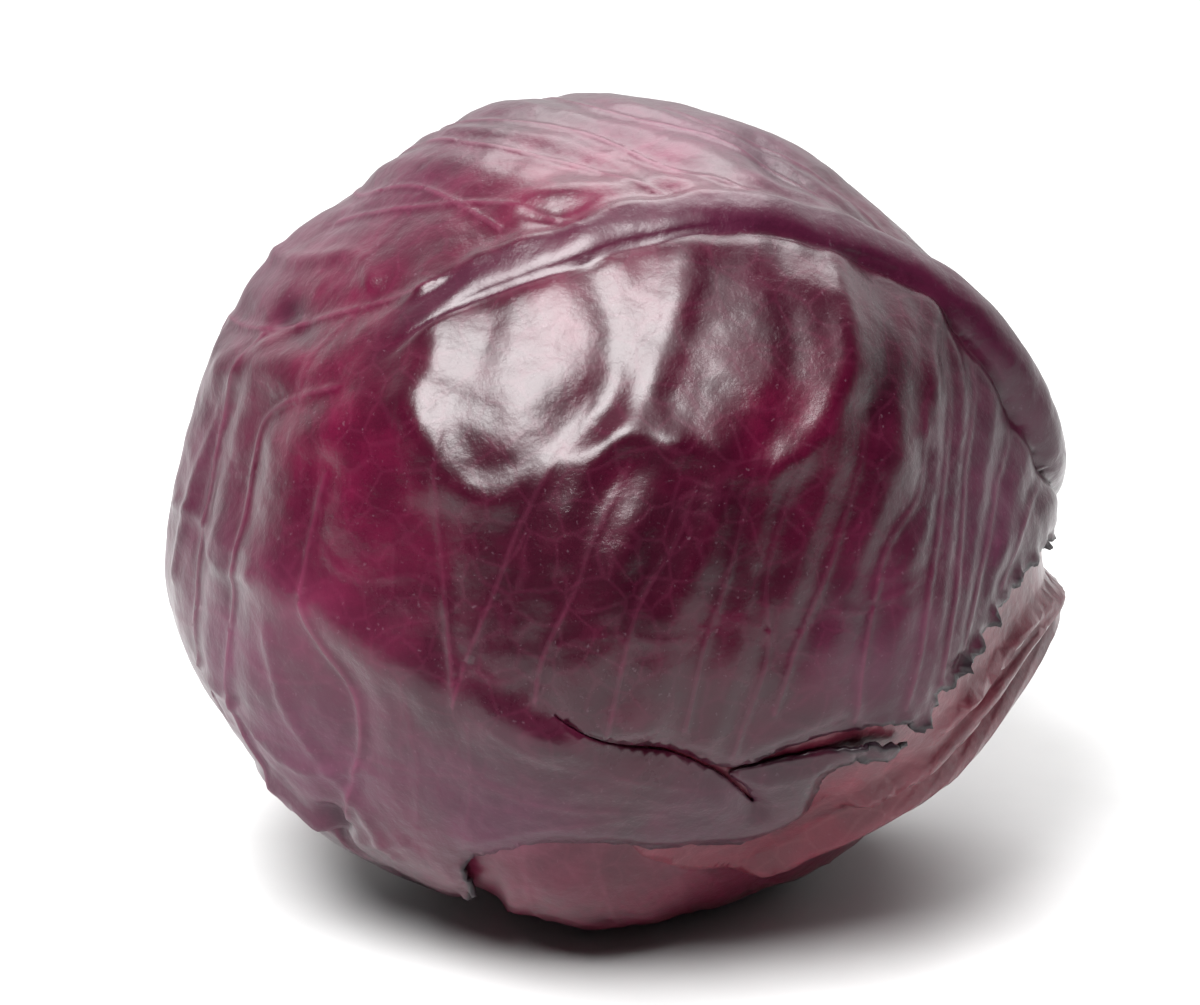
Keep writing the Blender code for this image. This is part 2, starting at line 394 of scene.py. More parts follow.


# %% [markdown]
# The outer leaf's veins are the ones we look at, so each of them is listed. They fan out from the
# midrib: down over the front, and away over the top. The last ones are the net of finer veins at the left.

# %% Veins of the outer leaf
OUTER_LEAF_RIB = (
    (113, -4),
    (103, -2),
    (93, 2),
    (83, 10),
    (77, 21),
    (72, 33),
    (67, 42),
    (59, 49),
    (49, 53),
    (38, 57),
    (25, 58),
    (12, 58),
    (-1, 57),
    (-12, 54),
    (-22, 51),
    (-31, 47),
    (-40, 39),
    (-48, 31),
)
FRONT_VEINS = (
    ((-27, 31), (-26, 18), (-24, 7), (-22, -5)),
    ((-5, 33), (-9, 26), (-14, 16), (-17, 7), (-20, -1), (-22, -8)),
    ((1, 25), (-4, 15), (-6, 9), (-10, 0), (-11, -6)),
    ((10, 22), (7, 15), (2, 7), (0, 0), (-1, -5), (-2, -10)),
    ((19, 25), (13, 8), (10, 0), (8, -11)),
    ((26, 24), (22, 17), (19, 8), (19, -1), (16, -11), (15, -17)),
    ((37, 27), (35, 23), (27, 7), (23, -1), (20, -10)),
    ((50, 26), (45, 16), (37, 10), (33, -1), (32, -8), (32, -13)),
    ((60, 32), (59, 27), (51, 15), (44, 4), (41, -5), (39, -12)),
    ((68, 32), (66, 25), (58, 16), (52, 6), (47, -3), (45, -10)),
    ((75, 24), (75, 19), (63, 9), (53, -2), (50, -7)),
    ((84, 12), (83, 9), (70, 5), (61, -2)),
)
TOP_VEINS = (
    ((-36, 47), (-53, 40), (-73, 31), (-92, 26), (-120, 18), (-148, 8)),
    ((-32, 57), (-65, 59), (-89, 51), (-122, 44), (-155, 32)),
    ((72, 50), (68, 58), (64, 73), (38, 87), (-129, 79), (-148, 62)),
    ((78, 46), (83, 55), (84, 67), (82, 77), (130, 82)),
    ((40, 61), (19, 71), (-40, 81), (-102, 66), (-128, 56)),
    ((11, 64), (-19, 72), (-79, 67), (-109, 52)),
    ((-11, 58), (-39, 61), (-65, 55), (-83, 47)),
    ((88, 34), (96, 48), (112, 56), (132, 56)),
    ((98, 14), (108, 26), (120, 34)),
)
LEFT_VEINS = (
    ((-47, 29), (-61, 22), (-62, 15), (-60, 4), (-60, -7), (-63, -24), (-57, -36), (-52, -50)),
    ((-44, 18), (-44, 2), (-38, -8), (-37, -13), (-39, -20), (-47, -33)),
    ((-73, 31), (-75, 15), (-73, 0), (-72, -11), (-74, -21), (-75, -36), (-72, -50)),
    ((-92, 26), (-92, 5), (-96, -15), (-98, -38)),
    ((-120, 18), (-118, -5), (-118, -30)),
)
FINE_VEINS = (
    ((-29, -6), (-29, -14), (-29, -20), (-34, -35)),
    ((-20, -10), (-21, -21), (-25, -33)),
    ((-55, -20), (-40, -20), (-28, -20), (-21, -19), (-12, -22)),
    ((-74, -20), (-66, -23), (-55, -20)),
    ((-72, -8), (-62, -6), (-50, -10), (-38, -8)),
    ((-75, 15), (-68, 12), (-61, 14)),
    ((-96, -15), (-84, -12), (-73, -11)),
    ((-22, 5), (-28, 8), (-36, 6), (-43, 9)),
    ((-11, -2), (-16, -4), (-21, -2)),
    ((-19, -9), (-10, -14), (0, -18), (11, -22)),
    ((-12, -22), (-3, -24), (6, -26)),
    ((-38, -33), (-30, -30), (-22, -30), (-12, -27), (0, -26)),
    ((-60, 4), (-52, 5), (-44, 2)),
    ((0, 3), (-4, 3), (-9, 1)),
    ((10, 2), (5, 2), (0, 3)),
    ((19, 2), (14, 4), (10, 3)),
    ((33, 2), (28, 3), (23, 1)),
    ((44, 5), (39, 4), (34, 3)),
    ((-53, 40), (-56, 31), (-54, 25)),
    ((-65, 59), (-60, 50), (-64, 36)),
    ((-79, 67), (-76, 60), (-78, 55)),
    ((-109, 52), (-104, 40), (-106, 23)),
    ((40, 80), (20, 78), (-10, 76)),
)


def outer_leaf_veins():
    """(height at its start, height at its end, unit directions) of every vein of the outer leaf."""
    groups = (
        (0.12, 0.55, FRONT_VEINS),
        (0.45, 0.45, TOP_VEINS),
        (0.5, 0.7, LEFT_VEINS),
        (0.16, 0.16, FINE_VEINS),
    )
    return [(*high, smooth_line(on_bearings(vein))) for *high, group in groups for vein in group]


# %% [markdown]
# ## Folds
# A stiff leaf that is pressed flat between its veins breaks into creases. These run across the veins,
# and each is a ridge or, with a minus sign, a hollow: height and half-width in millimetres, then its path.

# %% Folds
FOLDS = (
    (1.0, 3.6, ((-34, 30), (-29, 26), (-22, 20), (-16, 20), (-10, 24), (-4, 26), (1, 28), (7, 27))),
    (0.7, 4.0, ((7, 27), (13, 26), (20, 23), (28, 24), (36, 23), (44, 20))),
    (0.5, 8.0, ((0, 26), (6, 25), (13, 25))),
    (-0.9, 4.0, ((2, 11), (3, 15), (4, 19))),
    (1.4, 5.0, ((-40, 46), (-35, 41), (-31, 35), (-28, 28), (-27, 20))),
    (-0.5, 3.0, ((-8, 52), (-3, 44), (-2, 36), (-4, 28))),
    (1.1, 3.8, ((15, 56), (11, 48), (7, 40), (3, 33), (0, 28))),
    (-0.5, 3.5, ((34, 52), (29, 42), (26, 34), (22, 26))),
    (1.2, 3.2, ((48, 50), (40, 42), (36, 35), (31, 29), (25, 24))),
    (-0.7, 3.5, ((55, 45), (47, 37), (41, 30), (36, 24))),
    (0.9, 3.0, ((64, 38), (55, 30), (49, 23))),
    (1.6, 5.0, ((-66, 3), (-52, 3), (-40, 0), (-31, -4), (-22, -8), (-10, -11), (0, -10))),
    (1.2, 5.0, ((-33, 43), (-50, 33), (-66, 28), (-80, 22))),
    (-1.3, 4.5, ((-42, 36), (-56, 32), (-70, 34))),
    (2.4, 2.4, ((-60, -30), (-56, -33), (-53, -35))),
    (-2.4, 2.2, ((-55, -38), (-50, -36), (-49, -32))),
    (1.0, 4.0, ((62, 3), (72, 4), (84, 4), (95, 2))),
    (1.2, 4.0, ((-30, 62), (-10, 66), (20, 66), (45, 64), (64, 56))),
    (-0.8, 4.0, ((52, 60), (62, 66), (84, 70))),
    (1.2, 6.0, ((-95, 40), (-90, 20), (-88, 0), (-92, -20))),
    (0.8, 1.6, ((-60, -12), (-64, -22), (-60, -34), (-52, -46))),
    (0.7, 1.4, ((-74, -16), (-62, -18), (-50, -24), (-38, -22))),
    (0.7, 1.4, ((-72, -32), (-60, -33), (-48, -37), (-36, -34))),
    (0.7, 1.5, ((-50, -4), (-48, -16), (-44, -26), (-40, -38))),
    (0.6, 1.4, ((-84, 2), (-74, 3), (-64, 0), (-54, 2))),
    (0.8, 1.8, ((-66, 34), (-74, 24), (-78, 10), (-80, -6))),
    (0.8, 1.8, ((-54, 44), (-64, 46), (-80, 40), (-96, 36))),
)
UNDER_LEAF_FOLDS = (
    (4.2, 4.5, ((30, -46), (44, -38), (56, -32), (70, -26), (84, -19), (98, -14))),
    (3.0, 2.6, ((30, -33), (42, -30), (54, -26), (68, -19), (82, -13), (96, -10))),
    (-2.0, 2.4, ((30, -38), (44, -33), (56, -29), (70, -22), (84, -16))),
    (2.2, 2.0, ((34, -26), (46, -22), (58, -17), (72, -12), (90, -9))),
    (0.8, 3.0, ((-20, -40), (0, -44), (20, -50), (40, -54))),
)

# %% [markdown]
# ## From a flat outline to a mesh
# A regular grid would put the same number of points everywhere. Here the points are crowded where there
# is something to see: rows of them follow the veins, and an open honeycomb fills the rest. Delaunay
# triangulation then joins them all inside the outline, which may have a slit as deep as this leaf's.

# %% From a flat outline to a mesh
DEGREE = np.radians(1) * HEAD_MM  # millimetres on the head


def vein_rows(leaf, spacing):
    """Points along each vein and a little to both sides, on the leaf's flat map."""
    rows = []
    for _, high, line in leaf.veins:
        path = even_steps(leaf.on_map(line), spacing)
        ahead = np.gradient(path, axis=0)
        beside = np.column_stack([ahead[:, 1], -ahead[:, 0]]) / np.hypot(*ahead.T)[:, None]
        steps = (-1.7, -0.7, 0, 0.7, 1.7) if high > 0.25 else (-0.8, 0, 0.8)
        rows += [path + beside * step / DEGREE for step in steps]
    return np.vstack(rows)


def honeycomb(reach, spacing):
    """A flat honeycomb of points that far each way."""
    across = np.arange(-reach, reach, spacing)
    up = np.arange(-reach, reach, spacing * 0.866)
    x, y = np.meshgrid(across, up)
    x = x + (np.arange(len(up)) % 2)[:, None] * spacing / 2
    return np.column_stack([x.ravel(), y.ravel()])


def triangulated(leaf, spacing, rib_spacing):
    """Map places and triangles that fill the leaf's outline, without the points outside it."""
    rows = vein_rows(leaf, spacing)
    rib = even_steps(leaf.on_map(leaf.rib), spacing)
    ahead = np.gradient(rib, axis=0)
    beside = np.column_stack([ahead[:, 1], -ahead[:, 0]]) / np.hypot(*ahead.T)[:, None]
    rib_rows = [rib + beside * step / DEGREE for step in np.arange(-12, 12.1, rib_spacing)]
    rows = np.vstack([rows, *rib_rows])
    rows = thinned(rows, 0.55 / DEGREE)
    fill = honeycomb(np.hypot(*leaf.outline.T).max(), spacing)
    to_row = Nearest(np.column_stack([rows, np.zeros(len(rows))]))
    to_edge = Nearest(np.column_stack([leaf.outline, np.zeros(len(leaf.outline))]))
    fill = fill[to_row(np.column_stack([fill, np.zeros(len(fill))]))[1] > spacing * 0.6]
    places = np.vstack([rows, fill])
    places = places[to_edge(np.column_stack([places, np.zeros(len(places))]))[1] > 0.35]
    corners = [Vector(place) for place in np.vstack([leaf.outline, places])]
    count = len(leaf.outline)
    edges = [(i, (i + 1) % count) for i in range(count)]
    found = geometry.delaunay_2d_cdt(corners, edges, [list(range(count))], 1, 1e-5)
    places, faces = np.array([tuple(v) for v in found[0]]), np.array([tuple(face) for face in found[2]])
    inside = np.unique(faces)
    return places[inside], np.searchsorted(inside, faces).tolist()


def thinned(places, least):
    """Drops points that crowd each other, where rows cross."""
    keys = np.round(places / least).astype(int)
    return places[np.sort(np.unique(keys, axis=0, return_index=True)[1])]


# %% [markdown]
# ## How a leaf stands out from the head
# The midrib is a half-round beam: its far side rises gently and its near side drops off steeply into a
# groove. Side veins are thin ridges, and the leaf between them puffs out a little, like a quilt. Folds add
# their own ridges and hollows. Lumps of a few sizes, from smooth noise, keep every reflection uneven.

# %% How a leaf stands out from the head
RIB_HIGH = (7.0, 1.2)  # at the stalk and at the tip, like its width
RIB_WIDE = (9.5, 6.5)
RIDGE_WIDE = 0.8
PUFF, PUFF_REACH = 1.0, 5.5
LINK_PUFF, LINK_REACH = 0.25, 3
LUMPS = ((0.35, 17), (0.28, 7), (0.12, 3))  # how high and how wide
TUCKED_IN = 1.2  # the sheets lie this much inside the head's form, and their relief brings them back out


def to_lines(lines, directions):
    """From each direction to the nearest line: how far in mm, which line, and how far along it."""
    samples = [even_steps(line, np.radians(0.35)) for line in lines]
    owner = np.repeat(np.arange(len(lines)), [len(s) for s in samples])
    share = np.concatenate([np.linspace(0, 1, len(s)) for s in samples])
    nearest, away = Nearest(np.vstack(samples))(directions)
    return away * HEAD_MM, owner[nearest], share[nearest]


def rib_profile(leaf, directions):
    """The midrib's height in mm, and 1 on the rib."""
    rib = even_steps(leaf.rib, np.radians(0.5))
    nearest, away = Nearest(rib)(directions)
    to_front = np.cross(rib, np.gradient(rib, axis=0))
    aside = ((directions - rib[nearest]) * to_front[nearest]).sum(1)
    along = nearest / (len(rib) - 1)
    high = RIB_HIGH[0] + (RIB_HIGH[1] - RIB_HIGH[0]) * along**0.9
    wide = RIB_WIDE[0] + (RIB_WIDE[1] - RIB_WIDE[0]) * along**0.6
    across = np.sign(aside) * away * HEAD_MM / wide + 0.5
    back = np.exp(-((np.minimum(across, 0) / 0.45) ** 2))
    front = np.sqrt(np.clip(1 - np.clip(across, 0, 1) ** 2.2, 0, 1))
    groove = -0.12 * np.exp(-(((across - 1.12) / 0.16) ** 2))
    fades = smooth_steps(along, 1.0, 0.86)
    mask = smooth_steps(across, -0.35, 0.0) * (1 - smooth_steps(across, 0.95, 1.1)) * fades
    return high * (np.where(across < 0, back, front) + groove) * fades, mask


def lumps(directions, size):
    """Smooth noise between -1 and 1, with lumps that many mm across."""
    return np.array([noise.noise(Vector(d) * (HEAD_MM / size)) for d in directions])


def relief(leaf, directions, edge, exposed):
    """Height above the head's form in mm, and the masks that the skin's colours need."""
    side_veins = [line for _, high, line in leaf.veins if high > 0.26]
    to_vein, which, along = to_lines([line for *_, line in leaf.veins], directions)
    to_side_vein, _, _ = to_lines(side_veins, directions)
    rib, on_rib = rib_profile(leaf, directions)
    shade = np.zeros(len(directions))
    starts, ends = np.array([vein[:2] for vein in leaf.veins]).T
    high = starts[which] + (ends - starts)[which] * along
    ridge = high * np.exp(-((to_vein / RIDGE_WIDE) ** 2))
    puff = PUFF * leaf.puffed * (1 - np.exp(-((to_side_vein / PUFF_REACH) ** 2)))
    puff += LINK_PUFF * leaf.puffed * (1 - np.exp(-((to_vein / LINK_REACH) ** 2)))
    total = rib + (ridge + puff) * (1 - on_rib) * smooth_steps(edge, 0, 5)
    for high_fold, wide, path in leaf.folds:
        away, _, _ = to_lines([smooth_line(on_bearings(path))], directions)
        fold = high_fold * np.exp(-((away / wide) ** 2))
        total += fold * (1 - on_rib)
        shade -= fold
    for height, size in LUMPS:
        total += height * lumps(directions, size)
    vein = np.exp(-((to_vein / 0.45) ** 2)) * np.clip(high / 0.45, 0, 1.2)
    # The last mask paints shade into the hollows of the folds.
    return total * exposed, {"vein": vein * (1 - on_rib), "rib": on_rib, "hollow_shade": np.clip(shade, 0, 1)}


# %% [markdown]
# ## Bloom, and a painted reflection
# Cabbage leaves grow a pale, dusty wax called bloom. Hands rub it off where they hold the head, so it is
# left in broad patches: bearing, height, how far the patch reaches in degrees, and how thick it is. The
# patches on the lower front and the right are also a painted reflection: the pale mauve that those faces,
# turned down, show of the white floor. The red isn't even either: it flushes to a bright magenta where
# the leaf got less shade.

# %% Bloom, and a painted reflection
# The patches low on the front and right are partly painted reflection of the white floor.
BLOOM_AND_REFLECTION = (
    (-54, -20, 21, 0.95),
    (-18, -27, 12, 0.65),
    (14, -28, 10, 0.35),
    (38, -4, 12, 0.45),
    (60, 10, 14, 0.6),
    (-86, 4, 14, 0.25),
    (-78, 54, 14, 0.2),
    (60, 78, 20, 0.4),
    (-125, 25, 40, 0.6),
    (150, 10, 50, 0.5),
    (-160, -20, 50, 0.6),
)
FLUSH = (
    (5, 72, 12, 0.9),
    (-32, 62, 12, 0.6),
    (-62, 38, 12, 0.7),
    (-44, 24, 12, 0.6),
    (-40, 4, 12, 0.5),
    (24, 30, 7, 0.6),
    (-6, 46, 9, 0.5),
    (-30, -44, 14, 0.6),
)


def patches_on(patches, directions):
    """0 between the patches, up to 1 in the middle of them."""
    bare = np.ones(len(directions))
    for around, up, reach, thick in patches:
        away = np.degrees(np.arccos(np.clip(directions @ bearing(around, up), -1, 1)))
        bare *= 1 - thick * np.exp(-((away / reach) ** 2))
    return np.clip((1 - bare) * (1 + 0.4 * lumps(directions, 12)), 0, 1)


# %% [markdown]
# ## Building a leaf
# The outline is filled with triangles on the flat map, laid on the head, and raised by the relief. Where
# outer leaves lie on it, it sits a layer deeper for each of them. Its margin is pressed down on the leaf
# below, except where it was torn, and there it dried and curled up. Solidify gives the sheet its thickness.

# %% Building a leaf
LAYER = 1.9
THICKNESS = 0.9
SLACK = 0.12


def floats_on(mesh, name, values):
    mesh.attributes.new(name, "FLOAT", "POINT").data.foreach_set("value", np.asarray(values, np.float32))


def build_leaf(name, leaf, above, spacing, rib_spacing):
    """The leaf as a mesh object, under the leaves above it."""
    places, faces = triangulated(leaf, spacing, rib_spacing)
    directions = leaf.on_head(places)
    flat = np.column_stack([leaf.outline, np.zeros(len(leaf.outline))])
    nearest, edge = Nearest(flat)(np.column_stack([places, np.zeros(len(places))]))
    edge = edge * DEGREE
    cover = sum((other.cover(directions) for other in above), np.zeros(len(directions)))
    exposed = np.clip(1 - 4 * cover, 0, 1)
    raised, masks = relief(leaf, directions, edge, exposed)
    ragged = leaf.ragged[nearest]
    press = (LAYER - THICKNESS) * 0.8 * np.exp(-((edge / 3.5) ** 2)) * (1 - smooth_steps(ragged, 0.6, 1.2))
    curl = smooth_steps(ragged, 0.5, 1.3) * np.exp(-((edge / 2.2) ** 2))
    curl = curl * (1.2 + 2.4 * lumps(directions, 3))
    depth = TUCKED_IN + LAYER * cover + SLACK * len(above) + (press - curl) * exposed
    points = MIDDLE + directions * ((head_radius(directions) - depth + raised) * MM)[:, None]
    points[:, 2] = np.maximum(points[:, 2], (LAYER * cover) * MM)

    mesh = bpy.data.meshes.new(name)
    mesh.from_pydata(points.tolist(), [], faces)
    masks["dry"] = np.exp(-edge / 1.3) * smooth_steps(ragged, 0.3, 1.2)
    masks["bloom_and_reflection"] = patches_on(BLOOM_AND_REFLECTION, directions)
    masks["flush"] = patches_on(FLUSH, directions)
    for mask, values in masks.items():
        floats_on(mesh, mask, values)
    mesh.shade_smooth()
    made = bpy.data.objects.new(name, mesh)
    bpy.context.collection.objects.link(made)
    thick = made.modifiers.new("thickness", "SOLIDIFY")
    thick.thickness = THICKNESS * MM
    thick.offset = -1
    print(f"{name}: {len(points)} points, {len(faces)} triangles before it is given a thickness")
    return made


# %% [markdown]
# ## A short way to write shader maths
# A material is a graph of nodes. Wrapping a socket in a small class lets sums be written as Python, so
# that `1 - mask` adds a Math node by itself.

# %% A short way to write shader maths


class Wire:
    """A value that runs along a graph's link."""

    def __init__(self, graph, socket):
        self.graph, self.socket = graph, socket

    def maths(self, operation, *values):
        sockets = dict(enumerate(values))
        return self.graph.node("Math", {"operation": operation}, sockets)

    def __add__(self, other):
        return self.maths("ADD", self, other)

    def __radd__(self, other):
        return self.maths("ADD", other, self)

    def __sub__(self, other):
        return self.maths("SUBTRACT", self, other)

    def __rsub__(self, other):
        return self.maths("SUBTRACT", other, self)

    def __mul__(self, other):
        return self.maths("MULTIPLY", self, other)

    def __rmul__(self, other):
        return self.maths("MULTIPLY", other, self)

    def between(self, start, end):
        """0 at start and 1 at end, smooth between them."""
        sockets = {"Value": self, "From Min": start, "From Max": end}
        return self.graph.node("MapRange", {"interpolation_type": "SMOOTHSTEP"}, sockets)


class Graph:
    """A material's nodes."""

    def __init__(self, name):
        self.material = bpy.data.materials.new(name)
        self.material.use_nodes = True
        self.tree = self.material.node_tree
        self.tree.nodes.clear()

    def node(self, kind, settings=None, sockets=None, output=0):
        """Adds a node of that type, sets it up, and feeds its sockets with values or wires."""
        made = self.tree.nodes.new("ShaderNode" + kind)
        for name, value in (settings or {}).items():
            setattr(made, name, value)
        for name, value in (sockets or {}).items():
            if isinstance(value, Wire):
                self.tree.links.new(value.socket, made.inputs[name])
            else:
                made.inputs[name].default_value = value
        return Wire(self, made.outputs[output]) if made.outputs else None

    def mask(self, name):
        return self.node("Attribute", {"attribute_name": name}, output="Fac")

    def mix(self, first, second, share):
        """The first colour where share is 0, and the second where it is 1."""
        colours = [(*c, 1) if isinstance(c, tuple) else c for c in (first, second)]
        return self.node("Mix", {"data_type": "RGBA"}, {0: share, 6: colours[0], 7: colours[1]}, output=2)

    def cloud(self, place, scale, detail=3.0, roughness=0.5):
        sockets = {"Vector": place, "Scale": scale, "Detail": detail, "Roughness": roughness}
        return self.node("TexNoise", sockets=sockets)

    def bump(self, height, distance, normal=None):
        sockets = {"Height": height, "Distance": distance, "Strength": 1.0}
        if normal is not None:
            sockets["Normal"] = normal
        return self.node("Bump", sockets=sockets)

    def finish(self, fixed, **varying):
        """The surface: fixed numbers on its own sockets, and wires for what varies."""
        sockets = dict(fixed) | {name.replace("_", " "): wire for name, wire in varying.items()}
        surface = self.node("BsdfPrincipled", sockets=sockets)
        self.node("OutputMaterial", sockets={"Surface": surface})
        return self.material


# %% [markdown]
# ## The skin of a red cabbage leaf
# The skin is a thin wax over a deep red purple. The wax makes it glossy where it was rubbed and a little
# dusty where it wasn't, and on the lower faces that dusty mauve is also a painted reflection of the floor.
# Veins are paler because there is less colour in them, and a dried edge is nearly black. The midrib and the
# hollows of the folds are darkened with painted shade. The finest veins are too small for the mesh, so
# they are a faint net of cells in the colour, and two bumps, one of soft waves and one of fine grain, break
# up the gloss.

# %% The skin of a red cabbage leaf
DUSTY_AND_REFLECTED = (0.15, 0.05, 0.095)
MAGENTA = (0.2, 0.003, 0.04)
# The midrib is darkened with this colour as painted shade, for the shade on its steep near face.
RIB_PAINTED_SHADE = (0.035, 0.003, 0.014)
SPECKS = (0.55, 0.42, 0.5)
DRIED = (0.012, 0.004, 0.008)


def leaf_skin(name, deep, bright, pale, dusty_and_reflected, gloss):
    """A leaf's skin: two reds, its vein colour, its bloom and painted reflection colour, and its roughness.
    """
    graph = Graph(name)
    place = graph.node("TexCoord", output="Object")
    swirl = graph.node("TexNoise", sockets={"Vector": place, "Scale": 90.0, "Detail": 1.0}, output="Color")
    shift = graph.node("VectorMath", {"operation": "SCALE"}, {0: swirl, "Scale": 0.006})
    swirled = graph.node("VectorMath", {"operation": "ADD"}, {0: place, 1: shift})
    cells = graph.node("TexVoronoi", {"feature": "DISTANCE_TO_EDGE"}, {"Vector": swirled, "Scale": 150.0})
    net = 1 - cells.between(0.0, 0.09)
    patches = graph.cloud(place, 28.0, 4.0, 0.55).between(0.35, 0.7)
    streaks = graph.cloud(place, 110.0, 5.0, 0.6).between(0.35, 0.75)
    dust = graph.cloud(place, 1100.0, 2.0, 0.5).between(0.66, 0.76)
    vein, rib, dry, wax_and_reflection, flush = (graph.mask(mask) for mask in ("vein", "rib", "dry", "bloom_and_reflection", "flush"))

    colour = graph.mix(deep, bright, 0.1 + patches * 0.3 + streaks * 0.2)
    colour = graph.mix(colour, MAGENTA, flush * (0.2 + 0.25 * streaks))
    # Painted shade: darker in the hollows of the folds and on the heart's leaf steps.
    colour = graph.mix(colour, deep, graph.mask("hollow_shade") * 0.8)
    colour = graph.mix(colour, pale, net * 0.05)
    colour = graph.mix(colour, pale, vein * (0.12 + 0.3 * wax_and_reflection))
    # Painted shade: the midrib is darkened, for the shade on its steep near face.
    colour = graph.mix(colour, RIB_PAINTED_SHADE, rib * 0.65)
    # Bloom colour; on the lower faces it is also a painted reflection of the floor.
    colour = graph.mix(colour, dusty_and_reflected, wax_and_reflection * (0.45 + 0.3 * streaks))
    colour = graph.mix(colour, SPECKS, dust * 0.05)
    colour = graph.mix(colour, DRIED, dry.between(0.2, 0.7))
    rough = gloss + 0.06 * streaks + 0.22 * wax_and_reflection + 0.06 * vein + 0.3 * dry + 0.08 * dust
    waves = graph.bump(graph.cloud(place, 130.0, 2.0, 0.4), 0.0007)
    grain = graph.bump(graph.cloud(place, 420.0, 4.0, 0.6), 0.0003, waves)
    fixed = {"IOR": 1.4, "Specular IOR Level": 0.2, "Coat Roughness": 0.28, "Coat IOR": 1.45}
    coat = 0.6 - 0.45 * wax_and_reflection
    return graph.finish(fixed, Base_Color=colour, Roughness=rough, Coat_Weight=coat, Normal=grain)


outer_skin = leaf_skin(
    "outer_leaf_skin", (0.013, 0.0001, 0.0035), (0.062, 0.0005, 0.014), (0.22, 0.04, 0.09), DUSTY_AND_REFLECTED, 0.25
)
under_skin = leaf_skin(
    "under_leaf_skin", (0.05, 0.001, 0.008), (0.22, 0.016, 0.04), (0.5, 0.2, 0.22), (0.24, 0.08, 0.12), 0.3
)
wrapper_skin = leaf_skin(
    "wrapper_leaf_skin", (0.045, 0.001, 0.01), (0.15, 0.006, 0.03), (0.34, 0.09, 0.14), (0.2, 0.06, 0.1), 0.3
)
heart_skin = leaf_skin(
    "heart_skin", (0.06, 0.003, 0.016), (0.14, 0.012, 0.04), (0.4, 0.14, 0.2), DUSTY_AND_REFLECTED, 0.36
)

# %% [markdown]
# The stump has a material of its own. Its flesh is pale and fibrous, and it turns brown where it dries.

# %% The cut stem's flesh
FLESH = ((0.55, 0.45, 0.3), (0.72, 0.66, 0.5))
STAIN = (0.24, 0.13, 0.07)
WOODY_RING = (0.4, 0.27, 0.16)
BARK = (0.42, 0.3, 0.3)


def cut_stem():
    """The pale flesh of the stem, drying to brown on the cut and along its rings."""
    graph = Graph("cut_stem")
    place = graph.node("TexCoord", output="Object")
    stains = graph.cloud(place, 120.0, 5.0, 0.6).between(0.4, 0.7)
    grain = graph.cloud(place, 700.0, 3.0, 0.6)
    ring, bark = graph.mask("ring"), graph.mask("bark")
    colour = graph.mix(*FLESH, grain)
    colour = graph.mix(colour, STAIN, stains * 0.45)
    colour = graph.mix(colour, WOODY_RING, ring * 0.5)
    colour = graph.mix(colour, BARK, bark * 0.6)
    bumps = graph.bump(grain, 0.0003)
    return graph.finish({"IOR": 1.4}, Base_Color=colour, Roughness=0.55 + 0.25 * stains, Normal=bumps)


stem_skin = cut_stem()
print("skins:", ", ".join(material.name for material in bpy.data.materials))

# %% [markdown]
# ## The leaves, from the outside in
# Each leaf needs to know the ones above it, so they are made in the order in which they wrap the head.

# %% The leaves, from the outside in
outer = Leaf(bearing(*OUTER_LEAF_MIDDLE))
outer.set_outline(torn_outline(outer, OUTER_LEAF_MARGIN, 0.55))
outer.rib = smooth_line(on_bearings(OUTER_LEAF_RIB))
outer.veins = outer_leaf_veins()
outer.folds = FOLDS
outer.puffed = 1.0
leaves = [outer]

WRAPPERS = ("under_leaf", "back_leaf", "top_leaf", "low_leaf", "side_leaf", "inner_leaf")
pieces = {"outer_leaf": build_leaf("torn_outer_leaf", outer, [], 1.05, 1.1)}
for turn, node in enumerate(WRAPPERS):
    leaf = whole_leaf(turn)
    leaf.ragged = np.full(len(leaf.outline), 0.3)
    leaf.folds = () if turn else UNDER_LEAF_FOLDS
    leaf.puffed = 0.8 if turn else 0.35
    pieces[node] = build_leaf(f"wrapping_{node}", leaf, leaves, 1.7, 1.8)
    leaves.append(leaf)

# %% [markdown]
# ## The heart
# Under the seven wrapper leaves there are dozens more, packed so tightly that they can't be told apart.
# They are one solid body here. What can be seen of them is modelled: the step where each of the last few
# leaves ends, and the ribs that fan out from the stalk. It is a ball, pressed into the head's form.

# %% The heart
STEM_LENGTH = 14
STEM_END = 82
HEART_STEP = 0.9
HEART_LEAVES = ((10, 62), (95, 58), (200, 64), (290, 55))
HEART_DEEP = 5.2


def across_stem():
    """Two unit directions that are square to the stem and to each other."""
    side = np.cross(STEM, [0, 0, 1])
    side /= np.linalg.norm(side)
    return side, np.cross(STEM, side)


def leaf_axis(turn, degrees_away):
    """The direction that lies that far from the stem, turned round it."""
    side, other = across_stem()
    around, away = np.radians(turn), np.radians(degrees_away)
    return STEM * np.cos(away) + (side * np.cos(around) + other * np.sin(around)) * np.sin(away)


def heart_relief(directions):
    """How far each place lies below the outermost of the heart's leaves in mm, and how near a rib is."""
    down, near_rib = np.zeros(len(directions)), np.zeros(len(directions))
    for turn, reach in HEART_LEAVES:
        tip = leaf_axis(turn, 70)
        away = np.degrees(np.arccos(np.clip(directions @ tip, -1, 1))) + 2 * lumps(directions, 9)
        down += HEART_STEP * smooth_steps(away, reach - 1.5, reach)
        rib_side = np.cross(STEM, tip)
        beside = np.abs(directions @ rib_side / np.linalg.norm(rib_side)) * 70
        near_rib = np.maximum(near_rib, np.exp(-((beside / 2.5) ** 2)) * (away < reach))
    return down, near_rib


